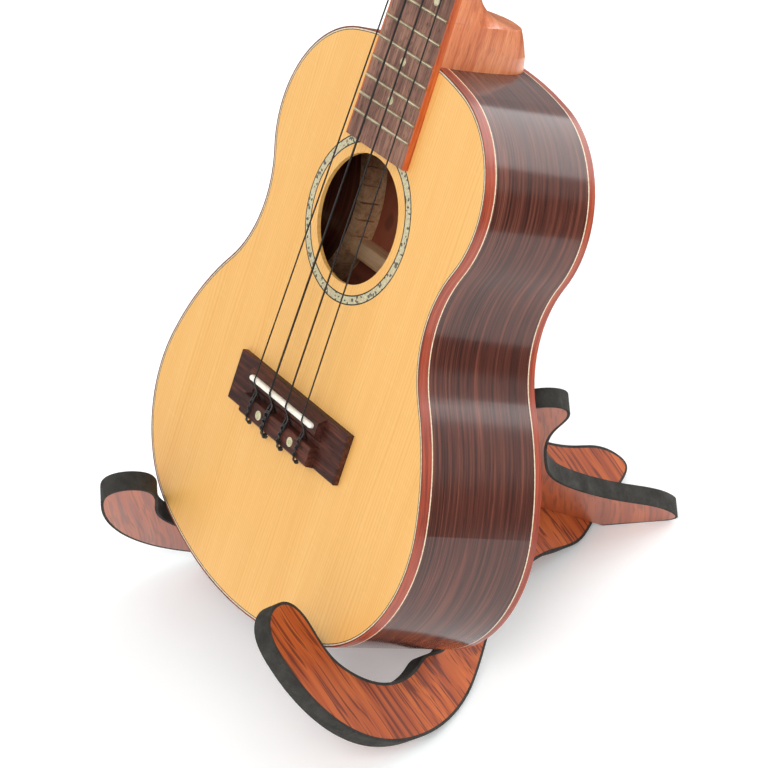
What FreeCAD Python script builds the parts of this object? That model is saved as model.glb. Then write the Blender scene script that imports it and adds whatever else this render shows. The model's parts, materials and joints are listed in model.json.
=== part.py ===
"""Concert ukulele resting on a two-board cross stand.

Frame: millimetres, +Z up, the soundboard faces -Y, +X is the right side seen from the front.
The ukulele is drawn in its own frame (u right, v up the neck, w out of the soundboard, origin
on the soundboard under the front of the saddle) and leaned back onto the stand.
Each stand board is drawn flat in its own frame (s across, t along the line where the two
boards cross) and stood on its edge. The origin ends up on the floor, in the middle.
"""
import FreeCAD, Part
import math
import os
from FreeCAD import Vector

# ---- how the whole thing stands ----
LEAN = math.radians(26.5)          # the neck leans back from the vertical
CROSS_TILT = math.radians(37.0)    # the line where the boards cross rises to the front
SADDLE_HEIGHT = 134.2              # ukulele origin above the floor
BOARD_AXIS_DROP = 11.84            # the crossing line passes this far behind the ukulele origin

# ---- ukulele body ----
# Right half of the body outline from tail to neck: signed radius and turn in degrees.
BODY_ARCS = [(173.3, 24.1), (63.1, 80.2), (128.9, 25.3), (-52.5, 66.2), (50.0, 102.3)]
BODY_TAIL = -100.1                 # v of the tail end
DEPTH = 67.5                       # body depth level with the saddle
DEPTH_TAPER = 0.045                # the body gets this much shallower per millimetre up the neck
PLATE = 2.0                        # soundboard and back thickness
RIB = 1.5                          # side thickness, and the width of the bindings
BINDING_LIP = 0.4                  # top binding seen from the front, outside the purfling
TOP_BINDING = 5.0
BACK_BINDING = 3.4
SIDE_LINE = 0.6                    # pale line between a binding and the side
PURFLING_LINES = (0.35, 0.6, 0.35)  # black, white, black around the soundboard
PURFLING_DEPTH = 1.0
LINING_WIDTH = 5.0
LINING_HEIGHT = 12.0
KERF_PITCH = 7.0
KERF_WIDTH = 0.9
HOLE_V = 90.9
HOLE_R = 29.3
ROSETTE_RADII = (33.9, 34.5, 37.8, 38.4)
ROSETTE_DEPTH = 0.8

# ---- neck, fretboard and strings ----
SCALE = 380.0
FRETS = 18
FRETBOARD_END = 122.8
FRETBOARD_THICK = 3.0
FRETBOARD_EDGE = 0.9                # width of the fretboard binding
NUT_HALF = 17.8
WIDENING = 5.2 / (SCALE - FRETBOARD_END)
NUT_THICK = 4.0
NUT_TOP = 5.0
FRET_WIDTH = 1.5
FRET_HEIGHT = 0.9
TANG = 0.6                         # thickness of a fret's foot
TANG_DEPTH = 1.6
DOT_R = 2.0
NECK_DEPTH = 17.0
HEEL_LENGTH = 18.8                 # length of the heel's end face
HEEL_FALL = 9.5                    # how much shallower the heel gets along its end face
HEEL_SWEEP = 18.0                  # length of the heel's hollow curve
HEEL_STEPS = 14
HEEL_NARROW = 1.6                  # the heel is this much narrower than the fretboard each side
HEAD_TILT = math.radians(12.0)
HEAD_LENGTH = 122.0
HEAD_THICK = 13.0
VENEER = 1.5
STRING_RADII = (0.36, 0.50, 0.43, 0.36)
SADDLE_SPREAD = 13.73              # string spacing at the saddle
NUT_SPREAD = 9.33
SADDLE_TOP = 10.0
NUT_STRING = 4.6

# ---- bridge ----
BRIDGE_HALF = 46.0
BRIDGE_FRONT = 6.5
BRIDGE_BACK = -17.7
BLOCK_HALF = 29.0
BLOCK_TOP = 7.8
WING_TOP = 3.4
SADDLE_HALF = 26.5
SADDLE_THICK = 2.5
TIE_HOLE_W = 4.6
TIE_HOLE_R = 0.95

# ---- tuners, in the headstock frame ----
POST_X = 17.5
POST_Y = (36.0, 84.0)
POST_R = 3.0
POST_TOP = 12.0
WINDING_TOP = 8.2                  # centre of the highest turn of string
GEAR_TEETH = 14
CROSS_HOLE_R = 0.7                 # the string goes through the post here
CROSS_HOLE_DROP = 2.0
BUSHING_R = 4.4
BUSHING_FLANGE = (6.6, 1.0)        # radius and height
BUSHING_HEX = (5.6, 3.6)
HOUSING = (13.0, 22.0, 10.5)
HOUSING_START = 8.0                # the housing begins this far below the post axis
HOUSING_WALL = 1.2
HOUSING_ROUND = 1.8
EAR_R = 3.2                        # screw lug of the housing
EAR_THICK = 1.4
EAR_OFFSET = 10.5
SCREW_R = 1.2
SCREW_HEAD = (2.2, 1.2)            # radius and height
SCREW_SLOT = (0.6, 0.6)            # width and depth
GEAR_TIP = 4.6
GEAR_ROOT = 3.6
WORM_OFFSET = 8.6                  # worm axis from the post axis, along the headstock
WORM_DROP = 5.0                    # worm axis below the back of the headstock
WORM_R = 3.4
WORM_LENGTH = 7.0
WORM_GROOVES = 3
WORM_PITCH = 2.1
WORM_GROOVE = (0.9, 1.0)           # depth and width
SHAFT_R = 1.6
SHAFT_LENGTH = 23.5
RUNNING = 0.06                     # radial clearance of a turning shaft
INSIDE_ROOM = 0.5                  # between the wheel or worm and the housing
BUTTON_HALVES = (6.2, 9.0, 3.9)    # half sizes of the oval button
BUTTON_X = 19.5
COLLAR = (2.6, 3.4, 4.5, 11.2)     # radius at the shaft and at the button, length, start

# ---- stand boards ----
BOARD = 9.15
FACE = 0.5                         # wood-grain face sheet on each side of the core
STRIP = 1.4                        # soft edge strip
SLOT_CLEARANCE = 0.15
LAP_T = -140.0                     # the two slots meet here on the crossing line
BOARD_OUTLINE = [(95.6, 8.9), (97.5, 14.2), (102.1, 18.2), (108.1, 19.3), (121.2, 12.3), (134.0, -1.4),
    (144.0, -19.8), (147.7, -41.2), (144.0, -62.5), (133.6, -83.3), (115.7, -101.4),
    (93.5, -113.5), (65.0, -128.8), (46.0, -147.0), (33.5, -167.5), (23.6, -188.4),
    (10.5, -200.2), (-6.0, -215.0), (-17.0, -225.8), (-24.0, -229.2), (-28.0, -221.5),
    (-24.8, -193.0), (-21.8, -163.0), (-26.5, -137.5), (-38.8, -120.2), (-53.0, -105.5),
    (-68.5, -95.0), (-83.3, -88.0), (-87.6, -81.8), (-86.0, -74.8), (-80.5, -69.6),
    (-71.5, -65.9), (-56.0, -65.1), (-28.0, -69.3), (0.0, -73.8), (30.0, -78.9),
    (58.0, -84.0), (83.0, -91.8), (91.8, -93.4), (98.2, -89.4), (102.0, -82.4), (104.2, -76.9),
    (110.1, -71.2), (118.0, -61.3), (122.8, -47.5), (121.7, -30.0), (116.1, -16.4),
    (107.0, -7.0), (99.2, 0.0)]


# ================= small helpers =================
def box(low, high):
    size = [b - a for a, b in zip(low, high)]
    return Part.makeBox(size[0], size[1], size[2], Vector(*low))


def rod(centre, radius, low, high):
    return Part.makeCylinder(radius, high - low, Vector(centre[0], centre[1], low))


def ring(centre, inner, outer, low, high):
    return rod(centre, outer, low, high).cut(rod(centre, inner, low, high))


def group(shapes):
    return Part.makeCompound([solid for shape in shapes for solid in shape.Solids])


def prism(points, low, high):
    """Closed polygon in the XY plane, extruded from low to high along Z."""
    wire = Part.makePolygon([Vector(x, y, low) for x, y in points + points[:1]])
    return Part.Face(wire).extrude(Vector(0, 0, high - low))


def side_prism(points, low, high):
    """Closed polygon of (v, w) points, extruded across the ukulele from u = low to high."""
    wire = Part.makePolygon([Vector(low, v, w) for v, w in points + points[:1]])
    return Part.Face(wire).extrude(Vector(high - low, 0, 0))


def tube(points, radius, bends):
    """Round rod along straight runs joined by tangent arcs, one bend radius per inner point."""
    edges = []
    start = points[0]
    for corner, after, bend in zip(points[1:-1], points[2:], bends):
        into = (corner - start).normalize()
        out = (after - corner).normalize()
        turn = into.getAngle(out)
        reach = bend * math.tan(turn / 2)
        first = corner - into * reach
        last = corner + out * reach
        inward = (out - into).normalize()
        middle = corner + inward * (bend / math.cos(turn / 2) - bend)
        edges.append(Part.makeLine(start, first))
        edges.append(Part.Arc(first, middle, last).toShape())
        start = last
    edges.append(Part.makeLine(start, points[-1]))
    profile = Part.Wire(Part.makeCircle(radius, points[0], points[1] - points[0]))
    return Part.Wire(edges).makePipeShell([profile], True, False)


# ================= frames =================
U_AXIS = Vector(1, 0, 0)
V_AXIS = Vector(0, math.sin(LEAN), math.cos(LEAN))
W_AXIS = Vector(0, -math.cos(LEAN), math.sin(LEAN))
CROSS = Vector(0, -math.cos(CROSS_TILT), math.sin(CROSS_TILT))
CROSS_UP = Vector(0, math.sin(CROSS_TILT), math.cos(CROSS_TILT))
HALF_RIGHT = math.sqrt(0.5)
BOARD_S = (U_AXIS - CROSS_UP) * HALF_RIGHT
BOARD_N = (U_AXIS + CROSS_UP) * -HALF_RIGHT
BOARD_MID = BOARD_AXIS_DROP * HALF_RIGHT      # board middle plane, and the crossing line's s
SADDLE_POINT = Vector(0, 0, SADDLE_HEIGHT)


def frame_matrix(x_axis, y_axis, z_axis, origin):
    return FreeCAD.Matrix(x_axis.x, y_axis.x, z_axis.x, origin.x,
                          x_axis.y, y_axis.y, z_axis.y, origin.y,
                          x_axis.z, y_axis.z, z_axis.z, origin.z, 0, 0, 0, 1)


UKULELE_FRAME = frame_matrix(U_AXIS, V_AXIS, W_AXIS, SADDLE_POINT)
BOARD_FRAME = frame_matrix(BOARD_S, CROSS, BOARD_N, SADDLE_POINT)
HEAD_ORIGIN = Vector(0, SCALE + NUT_THICK, 0)
HEAD_FRAME = frame_matrix(Vector(1, 0, 0), Vector(0, math.cos(HEAD_TILT), -math.sin(HEAD_TILT)),
                          Vector(0, math.sin(HEAD_TILT), math.cos(HEAD_TILT)), HEAD_ORIGIN)


def placed(shape, matrix):
    moved = shape.copy()
    moved.transformShape(matrix)
    return moved


# ================= ukulele body =================
def outline_steps(inset):
    """Right half outline as (start, middle, end, heading) arcs; the last one closes it."""
    x, y, heading = 0.0, BODY_TAIL + inset, 0.0
    turned = sum(angle if radius > 0 else -angle for radius, angle in BODY_ARCS)
    arcs = BODY_ARCS + [(None, 180.0 - turned)]
    steps = []
    for radius, angle in arcs:
        swing = math.radians(angle)
        if radius is None:
            bend = x / math.sin(heading)
        else:
            bend = radius - inset
            swing = math.copysign(swing, radius)
        middle_x, middle_y = x - bend * math.sin(heading), y + bend * math.cos(heading)
        places = []
        for share in (0.0, 0.5, 1.0):
            at = heading + swing * share
            places.append((middle_x + bend * math.sin(at), middle_y - bend * math.cos(at)))
        steps.append((places, heading, swing, bend))
        x, y = places[2]
        heading += swing
    return steps


def body_face(inset, w):
    edges = []
    for side in (1, -1):
        for places, heading, swing, bend in outline_steps(inset):
            a, b, c = [Vector(side * x, y, w) for x, y in places]
            edges.append(Part.Arc(a, b, c).toShape())
    return Part.Face(Part.Wire(Part.__sortEdges__(edges)))


def body_prism(inset, low, high):
    return body_face(inset, low).extrude(Vector(0, 0, high - low))


def band(outer, inner, low, high):
    return body_prism(outer, low, high).cut(body_prism(inner, low, high))


BELOW = -95.0
BACK_TILT = math.degrees(math.atan(DEPTH_TAPER))


def back_layer(low, high):
    """Everything between two heights above the sloping outer face of the back."""
    slab = box((-150, -200, low), (150, 300, high))
    slab.rotate(Vector(0, 0, 0), Vector(1, 0, 0), BACK_TILT)
    slab.translate(Vector(0, 0, -DEPTH))
    return slab


TAIL_BLOCK = box((-22, BODY_TAIL, BELOW), (22, BODY_TAIL + RIB + 14, -PLATE))
BODY_TOP = outline_steps(0)[-1][0][2][1]
NECK_BLOCK = box((-24, BODY_TOP - RIB - 26, BELOW), (24, BODY_TOP + 5, -PLATE))


def soundboard():
    inner_edge = BINDING_LIP + sum(PURFLING_LINES)
    plate = body_prism(RIB, -PLATE, -PURFLING_DEPTH)
    plate = plate.fuse(body_prism(inner_edge, -PURFLING_DEPTH, 0)).removeSplitter()
    hole = rod((0, HOLE_V), HOLE_R, -PLATE, 0)
    channel = ring((0, HOLE_V), ROSETTE_RADII[0], ROSETTE_RADII[3], -ROSETTE_DEPTH, 0)
    return plate.cut(hole).cut(channel)


def purfling(wanted):
    inset = BINDING_LIP
    rings = []
    for number, width in enumerate(PURFLING_LINES):
        if number in wanted:
            rings.append(band(inset, inset + width, -PURFLING_DEPTH, 0))
        inset += width
    return group(rings)


def top_binding():
    """Band around the top edge, rebated for the purfling."""
    lip = band(0, BINDING_LIP, -PURFLING_DEPTH, 0)
    return band(0, RIB, -TOP_BINDING, -PURFLING_DEPTH).fuse(lip).removeSplitter()


def rosette(pairs):
    return group([ring((0, HOLE_V), ROSETTE_RADII[a], ROSETTE_RADII[b], -ROSETTE_DEPTH, 0)
                  for a, b in pairs])


RIB_TOP = -(TOP_BINDING + SIDE_LINE)
RIB_FOOT = BACK_BINDING + SIDE_LINE


def side(sign):
    wall = band(0, RIB, BELOW, RIB_TOP).cut(back_layer(-60, RIB_FOOT))
    half = box((0, -200, BELOW), (200, 300, 0))
    if sign < 0:
        half = half.mirror(Vector(0, 0, 0), Vector(1, 0, 0))
    return wall.common(half)


def back_band(low, high):
    return band(0, RIB, BELOW, RIB_TOP).common(back_layer(low, high))


def kerfs(low, high):
    """Thin cuts across the linings, evenly spaced along each arc of the outline."""
    cuts = []
    for places, heading, swing, bend in outline_steps(RIB):
        count = max(2, int(abs(swing * bend) / KERF_PITCH))
        x0, y0 = places[0]
        middle_x, middle_y = x0 - bend * math.sin(heading), y0 + bend * math.cos(heading)
        for number in range(count):
            at = heading + swing * (number + 0.5) / count
            x, y = middle_x + bend * math.sin(at), middle_y - bend * math.cos(at)
            cut = box((-KERF_WIDTH / 2, 1.2, low), (KERF_WIDTH / 2, LINING_WIDTH + 2, high))
            cut.rotate(Vector(0, 0, 0), Vector(0, 0, 1), math.degrees(at))
            cut.translate(Vector(x, y, 0))
            cuts.append(cut)
            cuts.append(cut.mirror(Vector(0, 0, 0), Vector(1, 0, 0)))
    return cuts


def top_lining():
    low = -PLATE - LINING_HEIGHT
    lining = band(RIB, RIB + LINING_WIDTH, low, -PLATE).cut([NECK_BLOCK, TAIL_BLOCK])
    return lining.cut(kerfs(low - 1, -PLATE - 2))


def back_lining():
    layer = back_layer(PLATE, PLATE + LINING_HEIGHT)
    lining = band(RIB, RIB + LINING_WIDTH, BELOW, -20).common(layer)
    slots = Part.makeCompound(kerfs(BELOW, -20)).common(back_layer(PLATE + 2, 30))
    return lining.cut([NECK_BLOCK, TAIL_BLOCK]).cut(slots)


def end_block(shape):
    inside = body_prism(RIB, BELOW, -PLATE).cut(back_layer(-60, PLATE))
    return shape.common(inside)


def brace(v, width, height):
    """Cross brace under the soundboard with its lower corners shaved off."""
    top, foot = -PLATE, -PLATE - height
    profile = [(v - width / 2, top), (v + width / 2, top), (v + width / 2, top - height / 2),
               (v + 1, foot), (v - 1, foot), (v - width / 2, top - height / 2)]
    return side_prism(profile, -120, 120).common(body_prism(RIB + LINING_WIDTH, -40, 0))


def top_braces():
    braces = [brace(52.0, 6.0, 9.0), brace(131.0, 6.0, 9.0)]
    for angle in (-20, 0, 20):
        bar = box((-2, -62, -PLATE - 5), (2, 0, -PLATE))
        bar.rotate(Vector(0, 0, 0), Vector(0, 0, 1), angle)
        bar.translate(Vector(angle * 0.9, -22, 0))
        braces.append(bar.cut(TAIL_BLOCK))
    return group(braces)


def back_braces():
    inside = body_prism(RIB + LINING_WIDTH, BELOW, -20).common(back_layer(PLATE, PLATE + 9))
    return group([inside.common(box((-120, v - 4, BELOW), (120, v + 4, -20)))
                  for v in (-45.0, 56.0, 118.0)])


# ================= neck =================
def neck_half(v):
    return NUT_HALF + (SCALE - v) * WIDENING


def neck_section(v, half, depth):
    """Closed section across the neck: flat on top, rounded underneath."""
    curve = [(half, 0), (half * 0.99, -0.22 * depth), (half * 0.86, -0.6 * depth),
             (half * 0.5, -0.92 * depth), (0, -depth)]
    left = [(-x, w) for x, w in reversed(curve[:-1])]
    line = Part.BSplineCurve()
    line.interpolate([Vector(x, v, w) for x, w in curve + left])
    top = Part.makeLine(Vector(-half, v, 0), Vector(half, v, 0))
    return Part.Wire([line.toShape(), top])


def heel_stations():
    """Places up the neck and the heel's depth at each: rounded end face, then a hollow curve."""
    full = DEPTH - DEPTH_TAPER * BODY_TOP - 0.3
    stations = [(BODY_TOP - 12, full), (BODY_TOP, full)]
    for share in (0.33, 0.66, 0.88, 0.97):
        stations.append((BODY_TOP + HEEL_LENGTH * share, full - HEEL_FALL * share ** 1.5))
    cap = full - HEEL_FALL - 1.0
    for step in range(HEEL_STEPS + 1):
        angle = math.pi / 2 * step / HEEL_STEPS
        stations.append((BODY_TOP + HEEL_LENGTH + HEEL_SWEEP * (1 - math.cos(angle)),
                         NECK_DEPTH + (cap - NECK_DEPTH) * (1 - math.sin(angle))))
    return stations


def neck():
    """Heel, shaft and headstock in one piece of wood."""
    stations = heel_stations()
    stations += [(300.0, NECK_DEPTH - 0.5), (SCALE - 20, NECK_DEPTH - 1.5),
                 (SCALE + NUT_THICK, NECK_DEPTH - 2)]
    deepest = stations[0][1]
    sections = []
    for v, depth in stations:
        narrow = HEEL_NARROW * (depth - NECK_DEPTH + 2) / deepest
        sections.append(neck_section(v, neck_half(v) - max(narrow, 0), depth))
    loft = Part.makeLoft(sections, True, True)
    return loft.cut(body_prism(0, BELOW, 1)).fuse(headstock()).cut(headstock_veneer())


def head_outline():
    """Plain headstock: waisted sides widening to a low three-arc crown."""
    foot, waist, shoulder = NUT_HALF, NUT_HALF + 1.5, 29.0
    right = Part.BSplineCurve()
    right.interpolate([Vector(foot, -4, 0), Vector(waist, 8, 0), Vector(26.5, 24, 0),
                       Vector(26.0, 60, 0), Vector(shoulder, 104, 0), Vector(27.5, 113, 0)])
    right_edge = right.toShape()
    crown = Part.Arc(Vector(27.5, 113, 0), Vector(0, HEAD_LENGTH, 0), Vector(-27.5, 113, 0))
    left_edge = right_edge.mirror(Vector(0, 0, 0), Vector(1, 0, 0))
    foot_line = Part.makeLine(Vector(-foot, -4, 0), Vector(foot, -4, 0))
    edges = Part.__sortEdges__([right_edge, crown.toShape(), left_edge, foot_line])
    return Part.Face(Part.Wire(edges))


def post_places():
    """Post centres in string order: near left, far left, far right, near right."""
    return [(-POST_X, POST_Y[0]), (-POST_X, POST_Y[1]), (POST_X, POST_Y[1]), (POST_X, POST_Y[0])]


def head_slab(low, high):
    slab = head_outline().extrude(Vector(0, 0, high - low))
    slab.translate(Vector(0, 0, low))
    return slab.cut([rod(place, BUSHING_R, low, high) for place in post_places()])


def headstock():
    return placed(head_slab(-HEAD_THICK, -VENEER), HEAD_FRAME)


def headstock_veneer():
    veneer = head_slab(-VENEER, 0).common(box((-60, 0, -5), (60, 200, 5)))
    return placed(veneer, HEAD_FRAME)


def fret_v(number):
    return SCALE * 2 ** (-number / 12)


def fretboard_blank(margin):
    low, high = FRETBOARD_END, SCALE
    corners = [(-neck_half(low) + margin, low), (neck_half(low) - margin, low),
               (NUT_HALF - margin, high), (-NUT_HALF + margin, high)]
    return prism(corners, 0, FRETBOARD_THICK)


def tangs():
    """The fret feet, which stop at the fretboard binding."""
    feet = []
    for number in range(1, FRETS + 1):
        v = fret_v(number)
        half = neck_half(v) - FRETBOARD_EDGE
        feet.append(box((-half, v - TANG / 2, FRETBOARD_THICK - TANG_DEPTH),
                        (half, v + TANG / 2, FRETBOARD_THICK)))
    return feet


def dot_places():
    places = []
    for number in (3, 5, 7, 10, 12, 15, 17):
        v = (fret_v(number) + fret_v(number - 1)) / 2
        for u in ((-9.0, 9.0) if number == 12 else (0.0,)):
            places.append((u, v))
    return places


def fretboard():
    dots = [rod(place, DOT_R, FRETBOARD_THICK - 1, FRETBOARD_THICK) for place in dot_places()]
    return fretboard_blank(FRETBOARD_EDGE).cut(tangs() + dots)


def fretboard_binding():
    return fretboard_blank(0).cut(fretboard_blank(FRETBOARD_EDGE))


def frets():
    made = []
    radius = (FRET_HEIGHT ** 2 + (FRET_WIDTH / 2) ** 2) / (2 * FRET_HEIGHT)
    for number, tang in enumerate(tangs(), 1):
        v = fret_v(number)
        half = neck_half(v) - FRETBOARD_EDGE
        centre = Vector(-half, v, FRETBOARD_THICK + FRET_HEIGHT - radius)
        crown = Part.makeCylinder(radius, 2 * half, centre, Vector(1, 0, 0))
        above = box((-half, v - 2, FRETBOARD_THICK), (half, v + 2, FRETBOARD_THICK + 2))
        made.append(crown.common(above).fuse(tang).removeSplitter())
    return group(made)


# ================= strings, nut and bridge =================
def string_route(index):
    """Centre line of one string from its tuner post over the nut and saddle to the tie block."""
    radius = STRING_RADII[index]
    nut_u = (index - 1.5) * NUT_SPREAD
    u = (index - 1.5) * SADDLE_SPREAD
    post = post_places()[index]
    inner = math.copysign(1, -post[0])
    end = Vector(post[0] + inner * (POST_R + radius), post[1] - 3.8, WINDING_TOP)
    head_end = HEAD_FRAME.multVec(end)
    back = BRIDGE_BACK - radius - 0.3
    over = BLOCK_TOP + radius + 0.25
    return [head_end,
            Vector(nut_u, SCALE + NUT_THICK / 2, NUT_STRING),
            Vector(u, SADDLE_THICK / 2, SADDLE_TOP + radius + 0.3),
            Vector(u, -7.0, TIE_HOLE_W),
            Vector(u, back, TIE_HOLE_W),
            Vector(u, back, over),
            Vector(u, -8.6, over)]


def string(index):
    return tube(string_route(index), STRING_RADII[index], [8.0, 3.0, 2.0, 1.2, 1.2])


def winding(index):
    """Four turns of string on the post, just under its cross hole."""
    radius = STRING_RADII[index]
    turns = []
    for number in range(4):
        turn = Part.makeTorus(POST_R + radius, radius)
        turn.translate(Vector(post_places()[index][0], post_places()[index][1],
                              WINDING_TOP - radius * 2.02 * number))
        turns.append(turn)
    return placed(group(turns), HEAD_FRAME)


def nut():
    blank = box((-NUT_HALF, SCALE, 0), (NUT_HALF, SCALE + NUT_THICK, NUT_TOP))
    blank = blank.makeFillet(0.8, [edge for edge in blank.Edges
                                   if edge.BoundBox.ZMin > NUT_TOP - 0.1 and edge.Length > 20])
    slots = []
    for index, radius in enumerate(STRING_RADII):
        route = string_route(index)
        slots.append(tube(route[:3], radius + 0.06, [8.0]))
    return blank.cut(slots)


def block_profile():
    return [(BRIDGE_FRONT, 0), (BRIDGE_FRONT, 3.0), (3.9, BLOCK_TOP), (-1.9, BLOCK_TOP),
            (-5.6, 3.0), (-7.6, 3.0), (-8.0, BLOCK_TOP - 0.5), (-8.6, BLOCK_TOP),
            (-16.4, BLOCK_TOP), (-17.3, BLOCK_TOP - 0.8), (BRIDGE_BACK, 3.0), (BRIDGE_BACK, 0)]


def bridge():
    block = side_prism(block_profile(), -BLOCK_HALF, BLOCK_HALF)
    wings = box((-BRIDGE_HALF, BRIDGE_BACK, 0), (BRIDGE_HALF, BRIDGE_FRONT, WING_TOP))
    upper = [edge for edge in wings.Edges if edge.BoundBox.ZMin > WING_TOP - 0.1]
    wings = wings.makeFillet(0.9, upper)
    channel = box((-BLOCK_HALF, -7.6, 3.0), (BLOCK_HALF, -5.6, 5))
    holes = []
    for index in range(4):
        u = (index - 1.5) * SADDLE_SPREAD
        holes.append(Part.makeCylinder(TIE_HOLE_R, 30, Vector(u, 0, TIE_HOLE_W), Vector(0, -1, 0)))
    holes = [hole.common(box((-60, -30, 0), (60, -5.6, 20))) for hole in holes]
    whole = wings.fuse(block).removeSplitter()
    return whole.cut(holes + [channel, saddle_blank(), bridge_dots()])


def saddle_blank():
    half = SADDLE_HALF - SADDLE_THICK / 2
    slab = box((-half, 0, 2.5), (half, SADDLE_THICK, SADDLE_TOP))
    ends = [rod((x, SADDLE_THICK / 2), SADDLE_THICK / 2, 2.5, SADDLE_TOP) for x in (-half, half)]
    return slab.fuse(ends).removeSplitter()


def saddle():
    blank = saddle_blank()
    top = [edge for edge in blank.Edges if edge.BoundBox.ZMin > SADDLE_TOP - 0.1]
    return blank.makeFillet(1.15, top)


def bridge_dots():
    return group([rod((u, -12.4), 2.2, BLOCK_TOP - 1, BLOCK_TOP)
                  for u in (-SADDLE_SPREAD, SADDLE_SPREAD)])


# ================= tuners =================
def toothed_wheel(teeth, tip, root, low, high):
    corners = []
    for tooth in range(teeth):
        for share, radius in ((0.0, root), (0.3, root), (0.42, tip), (0.88, tip)):
            angle = 2 * math.pi * (tooth + share) / teeth
            corners.append((radius * math.cos(angle), radius * math.sin(angle)))
    return prism(corners, low, high)


HOUSING_TOP = -HEAD_THICK
WORM_W = HOUSING_TOP - WORM_DROP
ALONG_SHAFT = Vector(1, 0, 0)


def shaft_rod(radius, start, length):
    """Round bar on the worm's axis, in the frame of one tuner."""
    return Part.makeCylinder(radius, length, Vector(start, WORM_OFFSET, WORM_W), ALONG_SHAFT)


def post_and_wheel():
    post = rod((0, 0), POST_R, WORM_W - 2.0, POST_TOP)
    hole_start = Vector(-POST_R * 2, 0, POST_TOP - CROSS_HOLE_DROP)
    cross_hole = Part.makeCylinder(CROSS_HOLE_R, POST_R * 4, hole_start, ALONG_SHAFT)
    wheel = toothed_wheel(GEAR_TEETH, GEAR_TIP, GEAR_ROOT, WORM_W - 2.0, WORM_W + 2.4)
    return post.fuse(wheel).removeSplitter().cut(cross_hole)


def housing():
    """Hollow cover with a screw lug; the wheel and the worm turn inside it."""
    width, length, deep = HOUSING
    low = HOUSING_TOP - deep
    case = box((-width / 2, -HOUSING_START, low),
               (width / 2, length - HOUSING_START, HOUSING_TOP))
    rounded = [edge for edge in case.Edges if edge.BoundBox.ZMax < HOUSING_TOP - 0.1
               or edge.BoundBox.ZLength > deep - 1]
    case = case.makeFillet(HOUSING_ROUND, rounded)
    ear = rod((0, -EAR_OFFSET), EAR_R, HOUSING_TOP - EAR_THICK, HOUSING_TOP)
    ear = ear.fuse(box((-EAR_R, -EAR_OFFSET, HOUSING_TOP - EAR_THICK),
                       (EAR_R, -HOUSING_START + 3, HOUSING_TOP)))
    case = case.fuse(ear).removeSplitter()
    floor = low + HOUSING_WALL
    cavity = rod((0, 0), GEAR_TIP + INSIDE_ROOM, floor, HOUSING_TOP)
    room = WORM_R + INSIDE_ROOM
    tunnel = box((-width / 2 + HOUSING_WALL, WORM_OFFSET - room, floor),
                 (width / 2 - HOUSING_WALL, WORM_OFFSET + room, HOUSING_TOP - 1.0))
    bore = shaft_rod(SHAFT_R + RUNNING, 0, width * 2)
    screw_hole = rod((0, -EAR_OFFSET), SCREW_R + RUNNING, low, HOUSING_TOP)
    return case.cut([cavity, tunnel, bore, screw_hole])


def worm_shaft():
    worm = shaft_rod(WORM_R, -WORM_LENGTH / 2, WORM_LENGTH)
    depth, width = WORM_GROOVE
    for number in range(WORM_GROOVES):
        start = (number - (WORM_GROOVES - 1) / 2) * WORM_PITCH - width / 2 + 0.2
        groove = shaft_rod(WORM_R + 1, start, width).cut(shaft_rod(WORM_R - depth, start, width))
        worm = worm.cut(groove)
    return shaft_rod(SHAFT_R, -4.0, SHAFT_LENGTH).fuse(worm).removeSplitter()


def tuner_button(shaft):
    knob = Part.makeSphere(1.0)
    scale = FreeCAD.Matrix()
    scale.scale(*BUTTON_HALVES)
    knob = knob.transformGeometry(scale)
    knob.translate(Vector(BUTTON_X, WORM_OFFSET, WORM_W))
    inner, outer, length, start = COLLAR
    collar = Part.makeCone(inner, outer, length, Vector(start, WORM_OFFSET, WORM_W), ALONG_SHAFT)
    return knob.fuse(collar).removeSplitter().cut(shaft)


def tuner_parts(index):
    """Post with wheel, shaft with worm, button and housing of one tuner, in the ukulele frame."""
    x, y = post_places()[index]
    shaft = worm_shaft()
    parts = []
    for shape in (post_and_wheel(), shaft, tuner_button(shaft), housing()):
        if x < 0:
            shape = shape.mirror(Vector(0, 0, 0), Vector(1, 0, 0))
        shape.translate(Vector(x, y, 0))
        parts.append(placed(shape, HEAD_FRAME))
    return parts


def bushings():
    made = []
    hex_r, hex_top = BUSHING_HEX
    flange_r, flange_top = BUSHING_FLANGE
    for x, y in post_places():
        corners = [(x + hex_r * math.cos(math.radians(60 * k)),
                    y + hex_r * math.sin(math.radians(60 * k))) for k in range(6)]
        nut_part = prism(corners, flange_top, hex_top)
        sleeve = rod((x, y), BUSHING_R, -HEAD_THICK, flange_top)
        flange = rod((x, y), flange_r, 0, flange_top)
        bore = rod((x, y), POST_R + RUNNING, -HEAD_THICK - 1, hex_top + 1)
        made.append(sleeve.fuse([flange, nut_part]).removeSplitter().cut(bore))
    return placed(group(made), HEAD_FRAME)


def screws():
    made = []
    head_r, head_height = SCREW_HEAD
    slot_width, slot_depth = SCREW_SLOT
    top = HOUSING_TOP - EAR_THICK
    for x, y in post_places():
        place = (x, y - EAR_OFFSET)
        head = rod(place, head_r, top - head_height, top)
        bottom = top - head_height
        cut = box((x - head_r - 0.2, place[1] - slot_width / 2, bottom - 0.1),
                  (x + head_r + 0.2, place[1] + slot_width / 2, bottom + slot_depth))
        shank = rod(place, SCREW_R, top, HOUSING_TOP)
        made.append(head.cut(cut).fuse(shank).removeSplitter())
    return placed(group(made), HEAD_FRAME)


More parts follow.
